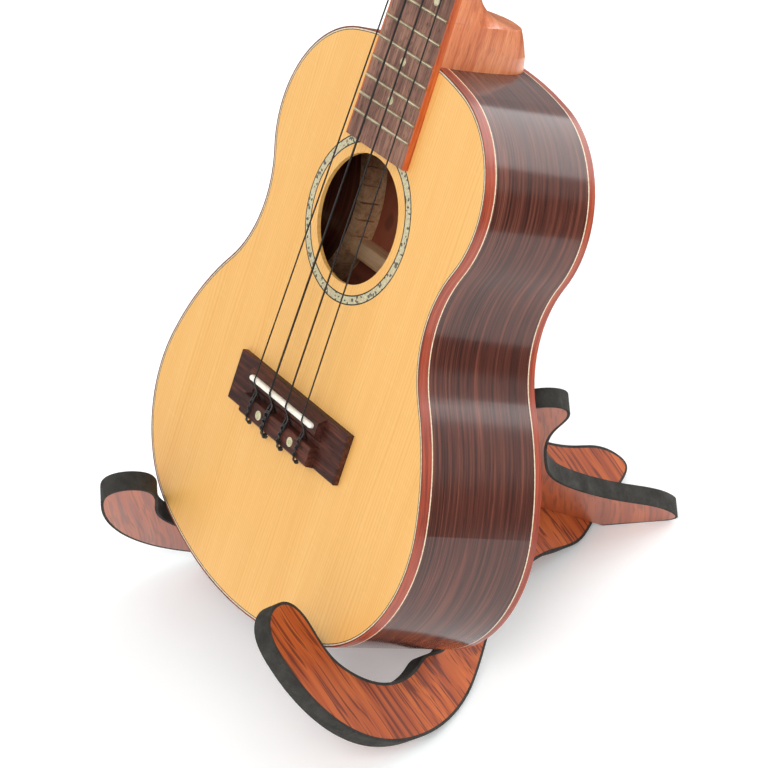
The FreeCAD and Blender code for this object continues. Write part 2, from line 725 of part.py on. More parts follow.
# ================= stand =================
def board_slab(grow, low, high):
    """Board outline grown by the given margin, between two heights off its middle plane."""
    points = [Vector(s, t, BOARD_MID + low) for s, t in BOARD_OUTLINE]
    curve = Part.BSplineCurve()
    curve.interpolate(points, PeriodicFlag=True)
    if grow:
        along = [curve.tangent(curve.parameter(point))[0] for point in points]
        points = [point + Vector(-step.y, step.x, 0) * grow for point, step in zip(points, along)]
        curve.interpolate(points, PeriodicFlag=True)
    joints = [curve.FirstParameter] + [curve.parameter(point) for point in points[3::3]]
    ends = joints[1:] + [curve.LastParameter]
    edges = [curve.toShape(start, end) for start, end in zip(joints, ends)]
    return Part.Face(Part.Wire(edges)).extrude(Vector(0, 0, high - low))


def slot(low_t, high_t):
    half = BOARD / 2 + SLOT_CLEARANCE
    return box((BOARD_MID - half, low_t, -60), (BOARD_MID + half, high_t, 80))


def stand_side(name, sign, cut):
    """Core, two face sheets and edge strip of one board, slotted and trimmed flat on the floor."""
    half = BOARD / 2
    core = board_slab(0, -half + FACE, half - FACE)
    faces = group([board_slab(0, -half, -half + FACE), board_slab(0, half - FACE, half)])
    strip = board_slab(STRIP, -half, half).cut(board_slab(0, -half, half))
    floor = box((-400, -400, 0), (400, 400, 400))
    pieces = {}
    for part, shape in (("core", core), ("faces", faces), ("edge_strip", strip)):
        shape = placed(shape.cut(cut), BOARD_FRAME).common(floor)
        if sign < 0:
            shape = shape.mirror(Vector(0, 0, 0), Vector(1, 0, 0))
        pieces["stand_%s_%s" % (name, part)] = group([shape])
    return pieces


# ================= assembly =================
def ukulele_nodes():
    nodes = {
        "soundboard": soundboard(),
        "back_plate": body_prism(RIB, BELOW, -20).common(back_layer(0, PLATE)),
        "side_right": side(1),
        "side_left": side(-1),
        "top_binding": top_binding(),
        "purfling_black": purfling((0, 2)),
        "purfling_white": purfling((1,)),
        "side_line_top": band(0, RIB, RIB_TOP, -TOP_BINDING),
        "side_line_back": back_band(BACK_BINDING, RIB_FOOT),
        "back_binding": back_band(0, BACK_BINDING),
        "rosette_pearl": rosette([(1, 2)]),
        "rosette_lines": rosette([(0, 1), (2, 3)]),
        "bridge": bridge(),
        "saddle": saddle(),
        "bridge_dots": bridge_dots(),
        "bridge_plate": box((-34, -20, -PLATE - 1.6), (34, 9, -PLATE)),
        "neck_block": end_block(NECK_BLOCK),
        "tail_block": end_block(TAIL_BLOCK),
        "top_lining": top_lining(),
        "back_lining": back_lining(),
        "top_braces": top_braces(),
        "back_braces": back_braces(),
        "neck": neck(),
        "fretboard": fretboard(),
        "fretboard_binding": fretboard_binding(),
        "frets": frets(),
        "fret_dots": group([rod(place, DOT_R, FRETBOARD_THICK - 1, FRETBOARD_THICK)
                            for place in dot_places()]),
        "nut": nut(),
        "headstock_veneer": headstock_veneer(),
        "tuner_bushings": bushings(),
        "tuner_screws": screws(),
    }
    housings = []
    for index in range(4):
        post, shaft, button, case = tuner_parts(index)
        number = index + 1
        nodes["string_%d" % number] = string(index)
        nodes["string_winding_%d" % number] = winding(index)
        nodes["tuner_post_%d" % number] = post
        nodes["worm_shaft_%d" % number] = shaft
        nodes["tuner_button_%d" % number] = button
        housings.append(case)
    nodes["tuner_housings"] = group(housings)
    return {name: placed(shape, UKULELE_FRAME) for name, shape in nodes.items()}


def stand_nodes():
    nodes = stand_side("right", 1, slot(LAP_T - SLOT_CLEARANCE, 80))
    nodes.update(stand_side("left", -1, slot(-300, LAP_T + SLOT_CLEARANCE)))
    return nodes


def build():
    nodes = stand_nodes()
    nodes.update(ukulele_nodes())
    extent = Part.makeCompound(list(nodes.values())).optimalBoundingBox(False, False)
    to_middle = Vector(0, -(extent.YMin + extent.YMax) / 2, 0)
    for shape in nodes.values():
        shape.translate(to_middle)
    return nodes, to_middle


if __name__ == "__main__":
    os.makedirs("parts", exist_ok=True)
    finished, shift = build()
    for node, shape in finished.items():
        shape.exportStep("parts/%s.step" % node)
        print("%-22s solids %3d volume %10.1f valid %s" % (node, len(shape.Solids), shape.Volume,
                                                           shape.isValid()))
    print("moved by", shift, "nodes", len(finished))
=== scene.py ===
"""Looks of the ukulele on its cross stand: materials, string knots, light and camera."""

import json
import math

import bpy
from mathutils import Matrix, Vector

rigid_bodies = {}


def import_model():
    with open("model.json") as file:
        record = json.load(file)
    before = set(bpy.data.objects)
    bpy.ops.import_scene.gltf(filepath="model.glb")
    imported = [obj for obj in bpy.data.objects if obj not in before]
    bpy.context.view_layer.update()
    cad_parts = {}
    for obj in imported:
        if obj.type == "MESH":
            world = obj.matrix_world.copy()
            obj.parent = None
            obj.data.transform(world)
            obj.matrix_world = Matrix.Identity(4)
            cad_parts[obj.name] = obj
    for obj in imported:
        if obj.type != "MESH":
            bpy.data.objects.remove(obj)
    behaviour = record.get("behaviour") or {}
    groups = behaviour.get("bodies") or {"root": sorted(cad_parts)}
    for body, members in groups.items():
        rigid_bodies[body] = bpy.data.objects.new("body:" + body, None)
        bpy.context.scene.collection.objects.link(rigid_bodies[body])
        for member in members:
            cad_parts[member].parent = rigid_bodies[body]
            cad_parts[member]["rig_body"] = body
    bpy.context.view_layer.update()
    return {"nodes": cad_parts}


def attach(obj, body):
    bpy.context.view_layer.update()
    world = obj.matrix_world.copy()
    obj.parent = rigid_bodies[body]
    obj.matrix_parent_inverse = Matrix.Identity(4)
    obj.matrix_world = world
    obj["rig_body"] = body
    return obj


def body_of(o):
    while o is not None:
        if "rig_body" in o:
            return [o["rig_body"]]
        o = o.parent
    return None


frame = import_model()
NODES = frame["nodes"]
MM = 0.001

# ---- frames of the ukulele and of the boards, as the model is drawn ----
LEAN = math.radians(26.5)
CROSS_TILT = math.radians(37.0)
GRAIN_TURN = math.radians(44.0)    # slant of the grain printed on the board faces
U_AXIS = Vector((1, 0, 0))
V_AXIS = Vector((0, math.sin(LEAN), math.cos(LEAN)))
W_AXIS = Vector((0, -math.cos(LEAN), math.sin(LEAN)))


def reach(node, axis):
    """Lowest and highest place of a CAD node along an axis."""
    places = [vertex.co.dot(axis) for vertex in NODES[node].data.vertices]
    return min(places), max(places)


SADDLE = V_AXIS * reach("saddle", V_AXIS)[0] + W_AXIS * reach("soundboard", W_AXIS)[1]
UKULELE_TURN = Matrix((U_AXIS, V_AXIS, W_AXIS)).transposed()


def from_ukulele(u, v, w):
    """A point given in millimetres right, up the neck and out of the soundboard."""
    return SADDLE + (U_AXIS * u + V_AXIS * v + W_AXIS * w) * MM


def board_turn(side):
    """Rotation of a board's own frame: across, along the crossing line, through the board."""
    cross = Vector((0, -math.cos(CROSS_TILT), math.sin(CROSS_TILT)))
    up = Vector((0, math.sin(CROSS_TILT), math.cos(CROSS_TILT)))
    across = (U_AXIS * side - up).normalized()
    return Matrix((across, cross, across.cross(cross))).transposed()


# ================= surfaces built from shader nodes =================
MIX_FACTOR, MIX_FIRST, MIX_SECOND = 0, 6, 7    # inputs of a Mix node that is set to colour
MIX_RESULT = 2                                 # its output


def tint(red, green, blue):
    """Display colour from 0 to 255, as a linear colour by the sRGB curve."""
    return tuple(((channel / 255 + 0.055) / 1.055) ** 2.4 if channel > 10 else channel / 3294
                 for channel in (red, green, blue)) + (1.0,)


class Surface:
    """One procedural material; its textures live in the frame of the piece it is made of."""

    def __init__(self, name, rough=0.4, turn=None, coat=0.0, coat_rough=0.1, metal=0.0,
                 specular=0.5):
        self.material = bpy.data.materials.new(name)
        self.material.use_nodes = True
        self.tree = self.material.node_tree
        self.shader = self.tree.nodes["Principled BSDF"]
        self.set(self.shader, {"Roughness": rough, "Metallic": metal, "Coat Weight": coat,
                               "Coat Roughness": coat_rough, "Specular IOR Level": specular})
        turn = turn or UKULELE_TURN
        place = self.add("ShaderNodeTexCoord").outputs["Object"]
        local = self.add("ShaderNodeMapping", {"Vector": place, "Location": SADDLE,
                                               "Rotation": turn.to_euler()},
                         vector_type="TEXTURE")
        self.local = local.outputs["Vector"]

    def plug(self, socket, value):
        """Link another node's output to a socket, or set the socket to a constant."""
        if isinstance(value, bpy.types.NodeSocket):
            self.tree.links.new(value, socket)
        else:
            socket.default_value = value

    def set(self, node, values):
        for name, value in values.items():
            self.plug(node.inputs[name], value)

    def add(self, kind, values=None, **settings):
        node = self.tree.nodes.new(kind)
        for name, value in settings.items():
            setattr(node, name, value)
        self.set(node, values or {})
        return node

    def stretch(self, scale, turn_z=0.0, vector=None):
        """Scaled coordinates, turned about the z axis first."""
        source = vector or self.local
        if turn_z:
            turned = self.add("ShaderNodeMapping", {"Vector": source, "Rotation": (0, 0, turn_z)})
            source = turned.outputs["Vector"]
        return self.add("ShaderNodeMapping", {"Vector": source, "Scale": scale}).outputs["Vector"]

    def noise(self, vector, scale, detail, rough=0.55, distort=0.0):
        node = self.add("ShaderNodeTexNoise", {"Vector": vector, "Scale": scale, "Detail": detail,
                                               "Roughness": rough, "Distortion": distort})
        return node.outputs["Fac"]

    def math(self, operation, first, second):
        node = self.add("ShaderNodeMath", {0: first, 1: second}, operation=operation)
        return node.outputs["Value"]

    def plus(self, first, second):
        return self.math("ADD", first, second)

    def minus(self, first, second):
        return self.math("SUBTRACT", first, second)

    def times(self, first, second):
        return self.math("MULTIPLY", first, second)

    def ramp(self, factor, stops):
        node = self.add("ShaderNodeValToRGB", {"Fac": factor})
        marks = node.color_ramp.elements
        while len(marks) < len(stops):
            marks.new(0.5)
        for mark, (place, colour) in zip(marks, stops):
            mark.position = place
            mark.color = colour
        return node.outputs["Color"]

    def level(self, factor, low, high, to_low, to_high):
        node = self.add("ShaderNodeMapRange", {"Value": factor, "From Min": low, "From Max": high,
                                               "To Min": to_low, "To Max": to_high})
        return node.outputs["Result"]

    def mix(self, factor, first, second):
        node = self.add("ShaderNodeMix", data_type="RGBA")
        self.set(node, {MIX_FACTOR: factor, MIX_FIRST: first, MIX_SECOND: second})
        return node.outputs[MIX_RESULT]

    def colour(self, socket):
        self.set(self.shader, {"Base Color": socket})

    def rough(self, socket):
        self.set(self.shader, {"Roughness": socket})

    def bump(self, height, strength, distance):
        node = self.add("ShaderNodeBump", {"Height": height, "Strength": strength,
                                           "Distance": distance})
        self.set(self.shader, {"Normal": node.outputs["Normal"]})


# ================= materials =================
# texture scales are in repeats per metre, and colours are display colours from 0 to 255
WANDER_REACH = 0.02    # metres that the grain strays sideways at a wander of 1
BAND_SHARE = 0.62      # weight of the broad bands in a wood's tone
LINE_SHARE = 0.38      # weight of its fine lines
PORE_RUN = 2.4         # pores are shorter than the grain lines by this factor
PORE_FINE = 1.6        # and thinner by this one
PORE_EDGE = 0.1        # softness of a pore's edge, in noise
PORE_SHADE = 0.45      # a pore's colour, as a share of the wood's dark colour
STREAK_FROM, STREAK_TO = 0.54, 0.64    # noise where a dark streak begins, and where it is full
WOOD_BUMP = 0.0004     # depth of open grain, in metres


def grained(name, along, colours, fine, broad, wander=0.35, pores=0.5, turn=None, turn_z=0.0,
            rough=0.42, coat=0.3, coat_rough=0.2, bump=0.08, mottle=0.25, figure=0.0,
            spread=(0.36, 0.5, 0.66), run=0.045, specular=0.5, pore_cut=0.6, pore_colour=None):
    """Straight-grained wood: broad bands, fine lines and short dark pores along some axes.

    run is the texture's scale along the grain as a share of its scale across. spread places the
    dark, middle and light colours. mottle adds clouds of tone and figure adds dark streaks."""
    wood = Surface(name, rough=rough, coat=coat, coat_rough=coat_rough, turn=turn,
                   specular=specular)
    slow = [run if axis in along else 1.0 for axis in "xyz"]
    flecks = [PORE_RUN * run if axis in along else 1.0 for axis in "xyz"]
    place = wood.stretch((1, 1, 1), turn_z)
    sway = wood.noise(place, 9.0, 2.0)
    push = wood.add("ShaderNodeCombineXYZ")
    for axis in "XYZ":
        if axis.lower() not in along:
            moved = wood.times(wood.minus(sway, 0.5), wander * WANDER_REACH)
            wood.set(push, {axis: moved})
    shift = wood.add("ShaderNodeVectorMath", {0: place, 1: push.outputs["Vector"]},
                     operation="ADD")
    bent = shift.outputs["Vector"]
    grain = wood.stretch(slow, 0.0, bent)
    bands = wood.noise(grain, broad, 3.0, 0.6)
    lines = wood.noise(grain, fine, 3.0, 0.7)
    pits = wood.noise(wood.stretch(flecks, 0.0, bent), fine * PORE_FINE, 1.0)
    cloud = wood.noise(wood.local, 22.0, 2.0)
    blend = wood.plus(wood.times(bands, BAND_SHARE), wood.times(lines, LINE_SHARE))
    blend = wood.plus(blend, wood.times(wood.minus(cloud, 0.5), mottle))
    dark, middle, light = colours
    colour = wood.ramp(blend, [(spread[0], tint(*dark)), (spread[1], tint(*middle)),
                               (spread[2], tint(*light))])
    if figure:
        drift = wood.noise(wood.stretch([2.0 * share for share in slow], 0.0, place), 40.0, 2.0)
        streak = wood.level(drift, STREAK_FROM, STREAK_TO, 0.0, figure)
        colour = wood.mix(streak, colour, tint(*dark))
    deep = tint(*(pore_colour or [int(channel * PORE_SHADE) for channel in dark]))
    pit = wood.level(pits, pore_cut, pore_cut + PORE_EDGE, 0.0, pores)
    wood.colour(wood.mix(pit, colour, deep))
    wood.rough(wood.level(lines, 0.3, 0.7, rough - 0.06, rough + 0.1))
    wood.bump(wood.minus(lines, pit), bump, WOOD_BUMP)
    return wood.material


RING_SCALE = 190.0     # scale of the growth lines across a spruce top
RING_DRIFT = 0.022     # metres that a growth line strays along its length
LATE_WOOD = 0.55       # part of a growth ring's wave where the late wood begins


def spruce(name):
    """Quarter-sawn spruce: even growth lines up the top, faint cross silk, satin lacquer."""
    wood = Surface(name, rough=0.45, coat=0.35, coat_rough=0.28)
    drift = wood.noise(wood.stretch((9.0, 0.7, 1.0)), 3.0, 3.0)
    split = wood.add("ShaderNodeSeparateXYZ", {"Vector": wood.local})
    across = wood.plus(split.outputs["X"], wood.times(drift, RING_DRIFT))
    lines_at = wood.add("ShaderNodeCombineXYZ", {"X": across})
    rings = wood.add("ShaderNodeTexWave", {"Vector": lines_at.outputs["Vector"],
                                           "Scale": RING_SCALE, "Distortion": 0.0,
                                           "Detail": 0.0}).outputs["Fac"]
    fibre = wood.noise(wood.stretch((1.0, 0.02, 1.0)), 1500.0, 3.0, 0.6)
    band = wood.noise(wood.stretch((1.0, 0.03, 1.0)), 60.0, 2.0)
    silk = wood.noise(wood.stretch((0.25, 1.0, 1.0), 0.12), 420.0, 2.0)
    late = wood.level(rings, LATE_WOOD, 1.0, 0.0, 0.55)
    tone = wood.plus(wood.times(late, 0.42), wood.times(fibre, 0.4))
    tone = wood.plus(tone, wood.times(wood.minus(band, 0.5), 0.45))
    colour = wood.ramp(tone, [(0.05, tint(240, 188, 112)), (0.36, tint(232, 174, 92)),
                              (0.9, tint(210, 146, 66))])
    wood.colour(wood.mix(wood.level(silk, 0.56, 0.72, 0.0, 0.12), colour, tint(244, 208, 142)))
    wood.rough(wood.level(fibre, 0.3, 0.7, 0.4, 0.5))
    wood.bump(wood.minus(fibre, late), 0.05, 0.0003)
    return wood.material


def rubber(name):
    """Closed-cell foam strip: matt black with fine pits, rubbed grey in places."""
    foam = Surface(name, rough=0.85, specular=0.25)
    cells = foam.add("ShaderNodeTexVoronoi", {"Vector": foam.local, "Scale": 1700.0})
    dust = foam.noise(foam.local, 120.0, 5.0, 0.65)
    scuff = foam.noise(foam.stretch((1.0, 1.0, 5.0)), 60.0, 3.0)
    base = foam.ramp(dust, [(0.35, tint(46, 44, 41)), (0.6, tint(58, 56, 52)),
                            (0.8, tint(70, 67, 62))])
    foam.colour(foam.mix(foam.level(scuff, 0.58, 0.75, 0.0, 0.25), base, tint(86, 82, 76)))
    foam.rough(foam.level(dust, 0.3, 0.7, 0.92, 0.74))
    foam.bump(cells.outputs["Distance"], 0.35, 0.0003)
    return foam.material


def pearl(name, scale, dark_share):
    """Shell in small irregular slips: pale grey-green and pink with a share of dark ones."""
    shell = Surface(name, rough=0.25, coat=0.8, coat_rough=0.08)
    slips = shell.add("ShaderNodeTexVoronoi", {"Vector": shell.local, "Scale": scale})
    split = shell.add("ShaderNodeSeparateColor", {"Color": slips.outputs["Color"]})
    swirl = shell.noise(shell.local, scale * 1.6, 4.0, 0.6, 1.4)
    pale = shell.ramp(swirl, [(0.3, tint(142, 152, 122)), (0.45, tint(190, 184, 144)),
                              (0.58, tint(212, 198, 162)), (0.7, tint(164, 176, 152))])
    rosy = shell.level(split.outputs["Green"], 0.6, 1.0, 0.0, 0.5)
    rose = shell.mix(rosy, pale, tint(194, 154, 118))
    dark = shell.level(split.outputs["Red"], 1.0 - dark_share, 1.02 - dark_share, 0.0, 0.85)
    shell.colour(shell.mix(dark, rose, tint(52, 54, 58)))
    shell.rough(shell.level(swirl, 0.3, 0.7, 0.18, 0.34))
    shell.bump(slips.outputs["Distance"], 0.05, 0.0002)
    return shell.material


def lacquer_line(name, colour, dark):
    """Thin dyed wood or celluloid line under the lacquer."""
    line = Surface(name, rough=0.38, coat=0.3, coat_rough=0.2)
    fibre = line.noise(line.local, 900.0, 3.0)
    line.colour(line.ramp(fibre, [(0.35, tint(*dark)), (0.6, tint(*colour))]))
    line.rough(line.level(fibre, 0.3, 0.7, 0.32, 0.46))
    return line.material


def bone(name):
    """Off-white bone with fine pores along its length."""
    piece = Surface(name, rough=0.32, coat=0.25, coat_rough=0.15)
    pores = piece.noise(piece.stretch((0.2, 1.0, 1.0)), 1400.0, 3.0)
    cloud = piece.noise(piece.local, 130.0, 3.0)
    base = piece.ramp(cloud, [(0.35, tint(236, 230, 214)), (0.65, tint(249, 246, 236))])
    piece.colour(piece.mix(piece.level(pores, 0.62, 0.74, 0.0, 0.35), base, tint(214, 203, 180)))
    piece.rough(piece.level(cloud, 0.3, 0.7, 0.26, 0.4))
    piece.bump(pores, 0.05, 0.0002)
    return piece.material


def metal(name, colour, shade, rough, brushed=0.0):
    """Plated or turned metal with fine wiping marks and faint tarnish."""
    plate = Surface(name, rough=rough, metal=1.0)
    marks = plate.noise(plate.stretch((1.0, 12.0, 1.0), 0.5), 500.0, 3.0)
    haze = plate.noise(plate.local, 180.0, 4.0)
    plate.colour(plate.ramp(haze, [(0.35, tint(*shade)), (0.62, tint(*colour))]))
    plate.rough(plate.level(marks, 0.3, 0.7, rough, rough + 0.12))
    plate.bump(marks, 0.03 + brushed, 0.0001)
    return plate.material


def nylon(name):
    """Black nylon string with faint streaks along it."""
    string = Surface(name, rough=0.3, coat=0.2, coat_rough=0.2)
    streak = string.noise(string.stretch((1.0, 0.05, 1.0)), 1200.0, 2.0)
    string.colour(string.ramp(streak, [(0.3, tint(16, 15, 15)), (0.7, tint(36, 33, 32))]))
    string.rough(string.level(streak, 0.3, 0.7, 0.26, 0.42))
    return string.material


def button_plastic(name):
    """Black polished tuner button with fine handling scratches."""
    button = Surface(name, rough=0.2, coat=0.4, coat_rough=0.1)
    marks = button.noise(button.stretch((1.0, 7.0, 1.0), 0.8), 900.0, 3.0)
    haze = button.noise(button.local, 160.0, 4.0)
    button.colour(button.ramp(haze, [(0.3, tint(14, 14, 15)), (0.7, tint(30, 29, 30))]))
    button.rough(button.level(marks, 0.4, 0.7, 0.16, 0.36))
    button.bump(marks, 0.03, 0.0001)
    return button.material


# dark, middle and light colour of each wood
ROSEWOOD = ((40, 18, 13), (80, 38, 28), (122, 66, 48))
BRIDGE_WOOD = ((40, 17, 12), (66, 32, 24), (108, 56, 38))
FRETBOARD_WOOD = ((90, 56, 44), (130, 90, 74), (166, 122, 100))
MAHOGANY = ((192, 96, 56), (218, 128, 80), (234, 156, 106))
BINDING_WOOD = ((116, 34, 14), (156, 56, 24), (184, 82, 44))
EDGE_WOOD = ((168, 66, 22), (196, 88, 34), (212, 112, 56))
BARE_WOOD = ((176, 128, 92), (212, 168, 124), (232, 194, 152))
# the inside colours are painted lighter than the rosewood: painted light on the inside of the
# body
INSIDE_WOOD_PAINTED_LIGHT = ((92, 40, 26), (132, 64, 42), (160, 90, 62))
CORE_WOOD = ((60, 36, 24), (82, 52, 36), (104, 70, 50))
BOARD_WOOD = ((140, 58, 26), (172, 80, 34), (194, 100, 46))
BOARD_PORES = (96, 36, 22)

MATERIALS = {
    "spruce": spruce("spruce_top"),
    "rosewood_side": grained("rosewood_side", "xy", ROSEWOOD, fine=1500.0, broad=760.0,
                             wander=0.1, coat=0.95, coat_rough=0.15, rough=0.5, mottle=0.12,
                             spread=(0.33, 0.5, 0.69), run=0.012, specular=0.12),
    "rosewood_back": grained("rosewood_back", "y", ROSEWOOD, fine=1300.0, broad=300.0,
                             wander=0.6, coat=0.6, coat_rough=0.18, rough=0.45, figure=0.3,
                             run=0.018, specular=0.25),
    "rosewood_bridge": grained("rosewood_bridge", "x", BRIDGE_WOOD, fine=1100.0, broad=420.0,
                               coat=0.0, rough=0.5, pores=0.8, bump=0.2, specular=0.35),
    "rosewood_head": grained("rosewood_head", "y", ROSEWOOD, fine=900.0, broad=160.0,
                             coat=0.5, figure=0.4),
    "fingerboard": grained("fingerboard_wood", "y", FRETBOARD_WOOD, fine=1300.0, broad=320.0,
                           coat=0.0, pores=0.9, bump=0.15, mottle=0.5),
    "mahogany_neck": grained("mahogany_neck", "y", MAHOGANY, fine=1100.0, broad=160.0,
                             wander=0.5, coat=0.6, rough=0.4, pores=0.3),
    "mahogany_binding": grained("mahogany_binding", "xy", BINDING_WOOD, fine=1400.0,
                                broad=500.0, coat=0.45, pores=0.35, run=0.02),
    "mahogany_edge": grained("mahogany_edge", "y", EDGE_WOOD, fine=1200.0, broad=400.0,
                             pores=0.25),
    "bare_wood": grained("bare_cedar", "x", BARE_WOOD, fine=900.0, broad=200.0, coat=0.0,
                         rough=0.75, pores=0.2, bump=0.2),
    # unlacquered inner face of the back, painted lighter to stand in for light through the sound
    # hole
    "inside_wood_painted_light": grained("inside_wood_painted_light", "xy", INSIDE_WOOD_PAINTED_LIGHT, fine=900.0, broad=300.0,
                           coat=0.0, rough=0.7, pores=0.4, run=0.02),
    "board_core": grained("board_core", "x", CORE_WOOD, fine=500.0, broad=200.0, coat=0.0,
                          rough=0.85, bump=0.3),
    "rubber": rubber("edge_rubber"),
    "pearl_ring": pearl("pearl_ring", 800.0, 0.18),
    "pearl_dot": pearl("pearl_dot", 160.0, 0.0),
    "black_line": lacquer_line("black_line", (34, 30, 28), (18, 16, 15)),
    "cream_line": lacquer_line("cream_line", (232, 214, 186), (206, 184, 150)),
    "bone": bone("bone"),
    "nickel": metal("nickel", (214, 210, 202), (194, 190, 182), 0.2),
    "fret_wire": metal("fret_wire", (226, 212, 180), (188, 174, 144), 0.3),
    "steel": metal("steel", (176, 176, 178), (138, 138, 142), 0.34, 0.05),
    "nylon": nylon("black_nylon"),
    "button": button_plastic("button_plastic"),
}
# the left board's lacquer is glossier than the right board's, and its pores are fainter: the
# fainter pores are a painted sheen standing in for the greyish reflection on its faces
BOARD_FILMS_AND_SHEEN = {"right": {"turn": board_turn(1), "coat": 0.05, "specular": 0.3, "pores": 0.85},
               "left": {"turn": board_turn(-1), "coat": 0.7, "specular": 0.5, "pores": 0.5}}
for label, film_and_sheen in BOARD_FILMS_AND_SHEEN.items():
    MATERIALS["board_face_" + label] = grained(
        "board_face_" + label, "x", BOARD_WOOD, fine=400.0, broad=150.0, wander=0.9,
        turn_z=GRAIN_TURN, rough=0.5, coat_rough=0.28, bump=0.05, figure=0.3, run=0.012,
        pore_cut=0.52, pore_colour=BOARD_PORES, **film_and_sheen)

LOOKS = {
    "soundboard": "spruce", "back_plate": "rosewood_back", "side_right": "rosewood_side",
    "side_left": "rosewood_side", "top_binding": "mahogany_binding",
    "back_binding": "mahogany_binding", "purfling_black": "black_line",
    "purfling_white": "cream_line", "side_line_top": "cream_line", "side_line_back": "cream_line",
    "rosette_pearl": "pearl_ring", "rosette_lines": "black_line", "bridge": "rosewood_bridge",
    "saddle": "bone", "nut": "bone", "bridge_dots": "pearl_dot", "fret_dots": "pearl_dot",
    "bridge_plate": "bare_wood", "neck_block": "bare_wood", "tail_block": "bare_wood",
    "top_lining": "bare_wood", "back_lining": "bare_wood", "top_braces": "bare_wood",
    "back_braces": "bare_wood", "neck": "mahogany_neck", "fretboard": "fingerboard",
    "fretboard_binding": "mahogany_edge", "frets": "fret_wire",
    "headstock_veneer": "rosewood_head", "tuner_bushings": "nickel", "tuner_screws": "nickel",
    "tuner_housings": "nickel",
}
for label in BOARD_FILMS_AND_SHEEN:
    LOOKS["stand_%s_core" % label] = "board_core"
    LOOKS["stand_%s_faces" % label] = "board_face_" + label
    LOOKS["stand_%s_edge_strip" % label] = "rubber"
STRINGS = range(1, 5)
for number in STRINGS:
    LOOKS["string_%d" % number] = "nylon"
    LOOKS["string_winding_%d" % number] = "nylon"
    LOOKS["tuner_post_%d" % number] = "nickel"
    LOOKS["worm_shaft_%d" % number] = "steel"
    LOOKS["tuner_button_%d" % number] = "button"

for node, look in LOOKS.items():
    NODES[node].data.materials.clear()
    NODES[node].data.materials.append(MATERIALS[look])

# the back plate is unlacquered on its inner face, which points towards the soundboard; that face
# is also painted much lighter and redder than the rosewood outside, a painted brightening that
# stands in for light falling in through the sound hole
INWARD = 0.7
BARE_AND_PAINTED_LIGHT_SLOT = 1
NODES["back_plate"].data.materials.append(MATERIALS["inside_wood_painted_light"])
for face in NODES["back_plate"].data.polygons:
    if face.normal.dot(W_AXIS) > INWARD:
        face.material_index = BARE_AND_PAINTED_LIGHT_SLOT


# ================= knots of the strings at the bridge =================
TIE_FRONT = -8.0       # front face, top and rear face of the bridge's tie block, in millimetres
TIE_TOP = 7.8
TIE_BACK = -17.7
CLEARANCE = 0.3        # air between a string's end and the tie block's top
LOOP_HALF_WIDTH = 2.2  # as a multiple of the string's radius
# places round the front loop: share of its half width, forward of the block and down, millimetres
LOOP = ((1.0, -1.6, 0.0), (1.0, 0.9, 0.2), (0.9, 3.4, 0.9), (0.0, 5.1, 0.9), (-0.9, 3.4, 0.9),
        (-1.0, 0.9, 0.2))
WRAP_STEPS = 14
WRAP_HALF_TURNS = 5
COIL_STEPS = 20
COIL_TURNS = 1.5
COIL_RADIUS = 1.9      # the coil's radius and length, as multiples of the string's radius
COIL_LENGTH = 2.6
TAIL_FROM = -10        # from here on a string lies behind the saddle, in millimetres


def place_in_scene(name, data):
    holder = bpy.data.objects.new(name, data)
    bpy.context.scene.collection.objects.link(holder)
    return holder


def tail_of(number):
    """Place across and radius of a string behind the saddle, in millimetres."""
    tail = [vertex.co.x / MM for vertex in NODES["string_%d" % number].data.vertices
            if (vertex.co - SADDLE).dot(V_AXIS) < TAIL_FROM * MM]
    return (min(tail) + max(tail)) / 2, (max(tail) - min(tail)) / 2


def strand(curve, points, radius):
    """Smooth line through a curve object's points, as thick as the string."""
    line = curve.splines.new("NURBS")
    line.points.add(len(points) - 1)
    line.order_u = 3
    line.use_endpoint_u = True
    for point, place in zip(line.points, points):
        point.co = tuple(from_ukulele(*place)) + (1.0,)
        point.radius = radius


def tied_end(u, radius, over):
    """Loop in front of the tie block, and the end wound round the string back over the block."""
    half_width = LOOP_HALF_WIDTH * radius
    points = [(u + share * half_width, TIE_FRONT + forward, over - down)
              for share, forward, down in LOOP]
    begin = TIE_FRONT - 0.6
    finish = TIE_BACK + 1.2
    for step in range(WRAP_STEPS + 1):
        share = step / WRAP_STEPS
        turn = math.pi * (1 + WRAP_HALF_TURNS * share)
        points.append((u + 2.0 * radius * math.cos(turn), begin + (finish - begin) * share,
                       over + 0.4 * radius + 1.7 * radius * abs(math.sin(turn))))
    points.append((u + 1.8 * radius, TIE_BACK - 1.2 * radius, over - 0.2))
    points.append((u + 1.4 * radius, TIE_BACK - 2.6 * radius - 0.2, over - 1.3))
    return points


def coil(centre, radius, start, upright):
    """Turns of string round an upright line, or else round a line along the strings."""
    u, v, w = centre
    points = []
    for step in range(COIL_STEPS + 1):
        share = step / COIL_STEPS
        turn = start + 2 * math.pi * COIL_TURNS * share
        drift = (share - 0.5) * COIL_LENGTH * radius
        swing = COIL_RADIUS * radius * math.sin(turn)
        lift = COIL_RADIUS * radius * math.cos(turn)
        if upright:
            points.append((u + swing, v + lift, w + drift))
        else:
            points.append((u + swing, v + drift, w + lift))
    return points


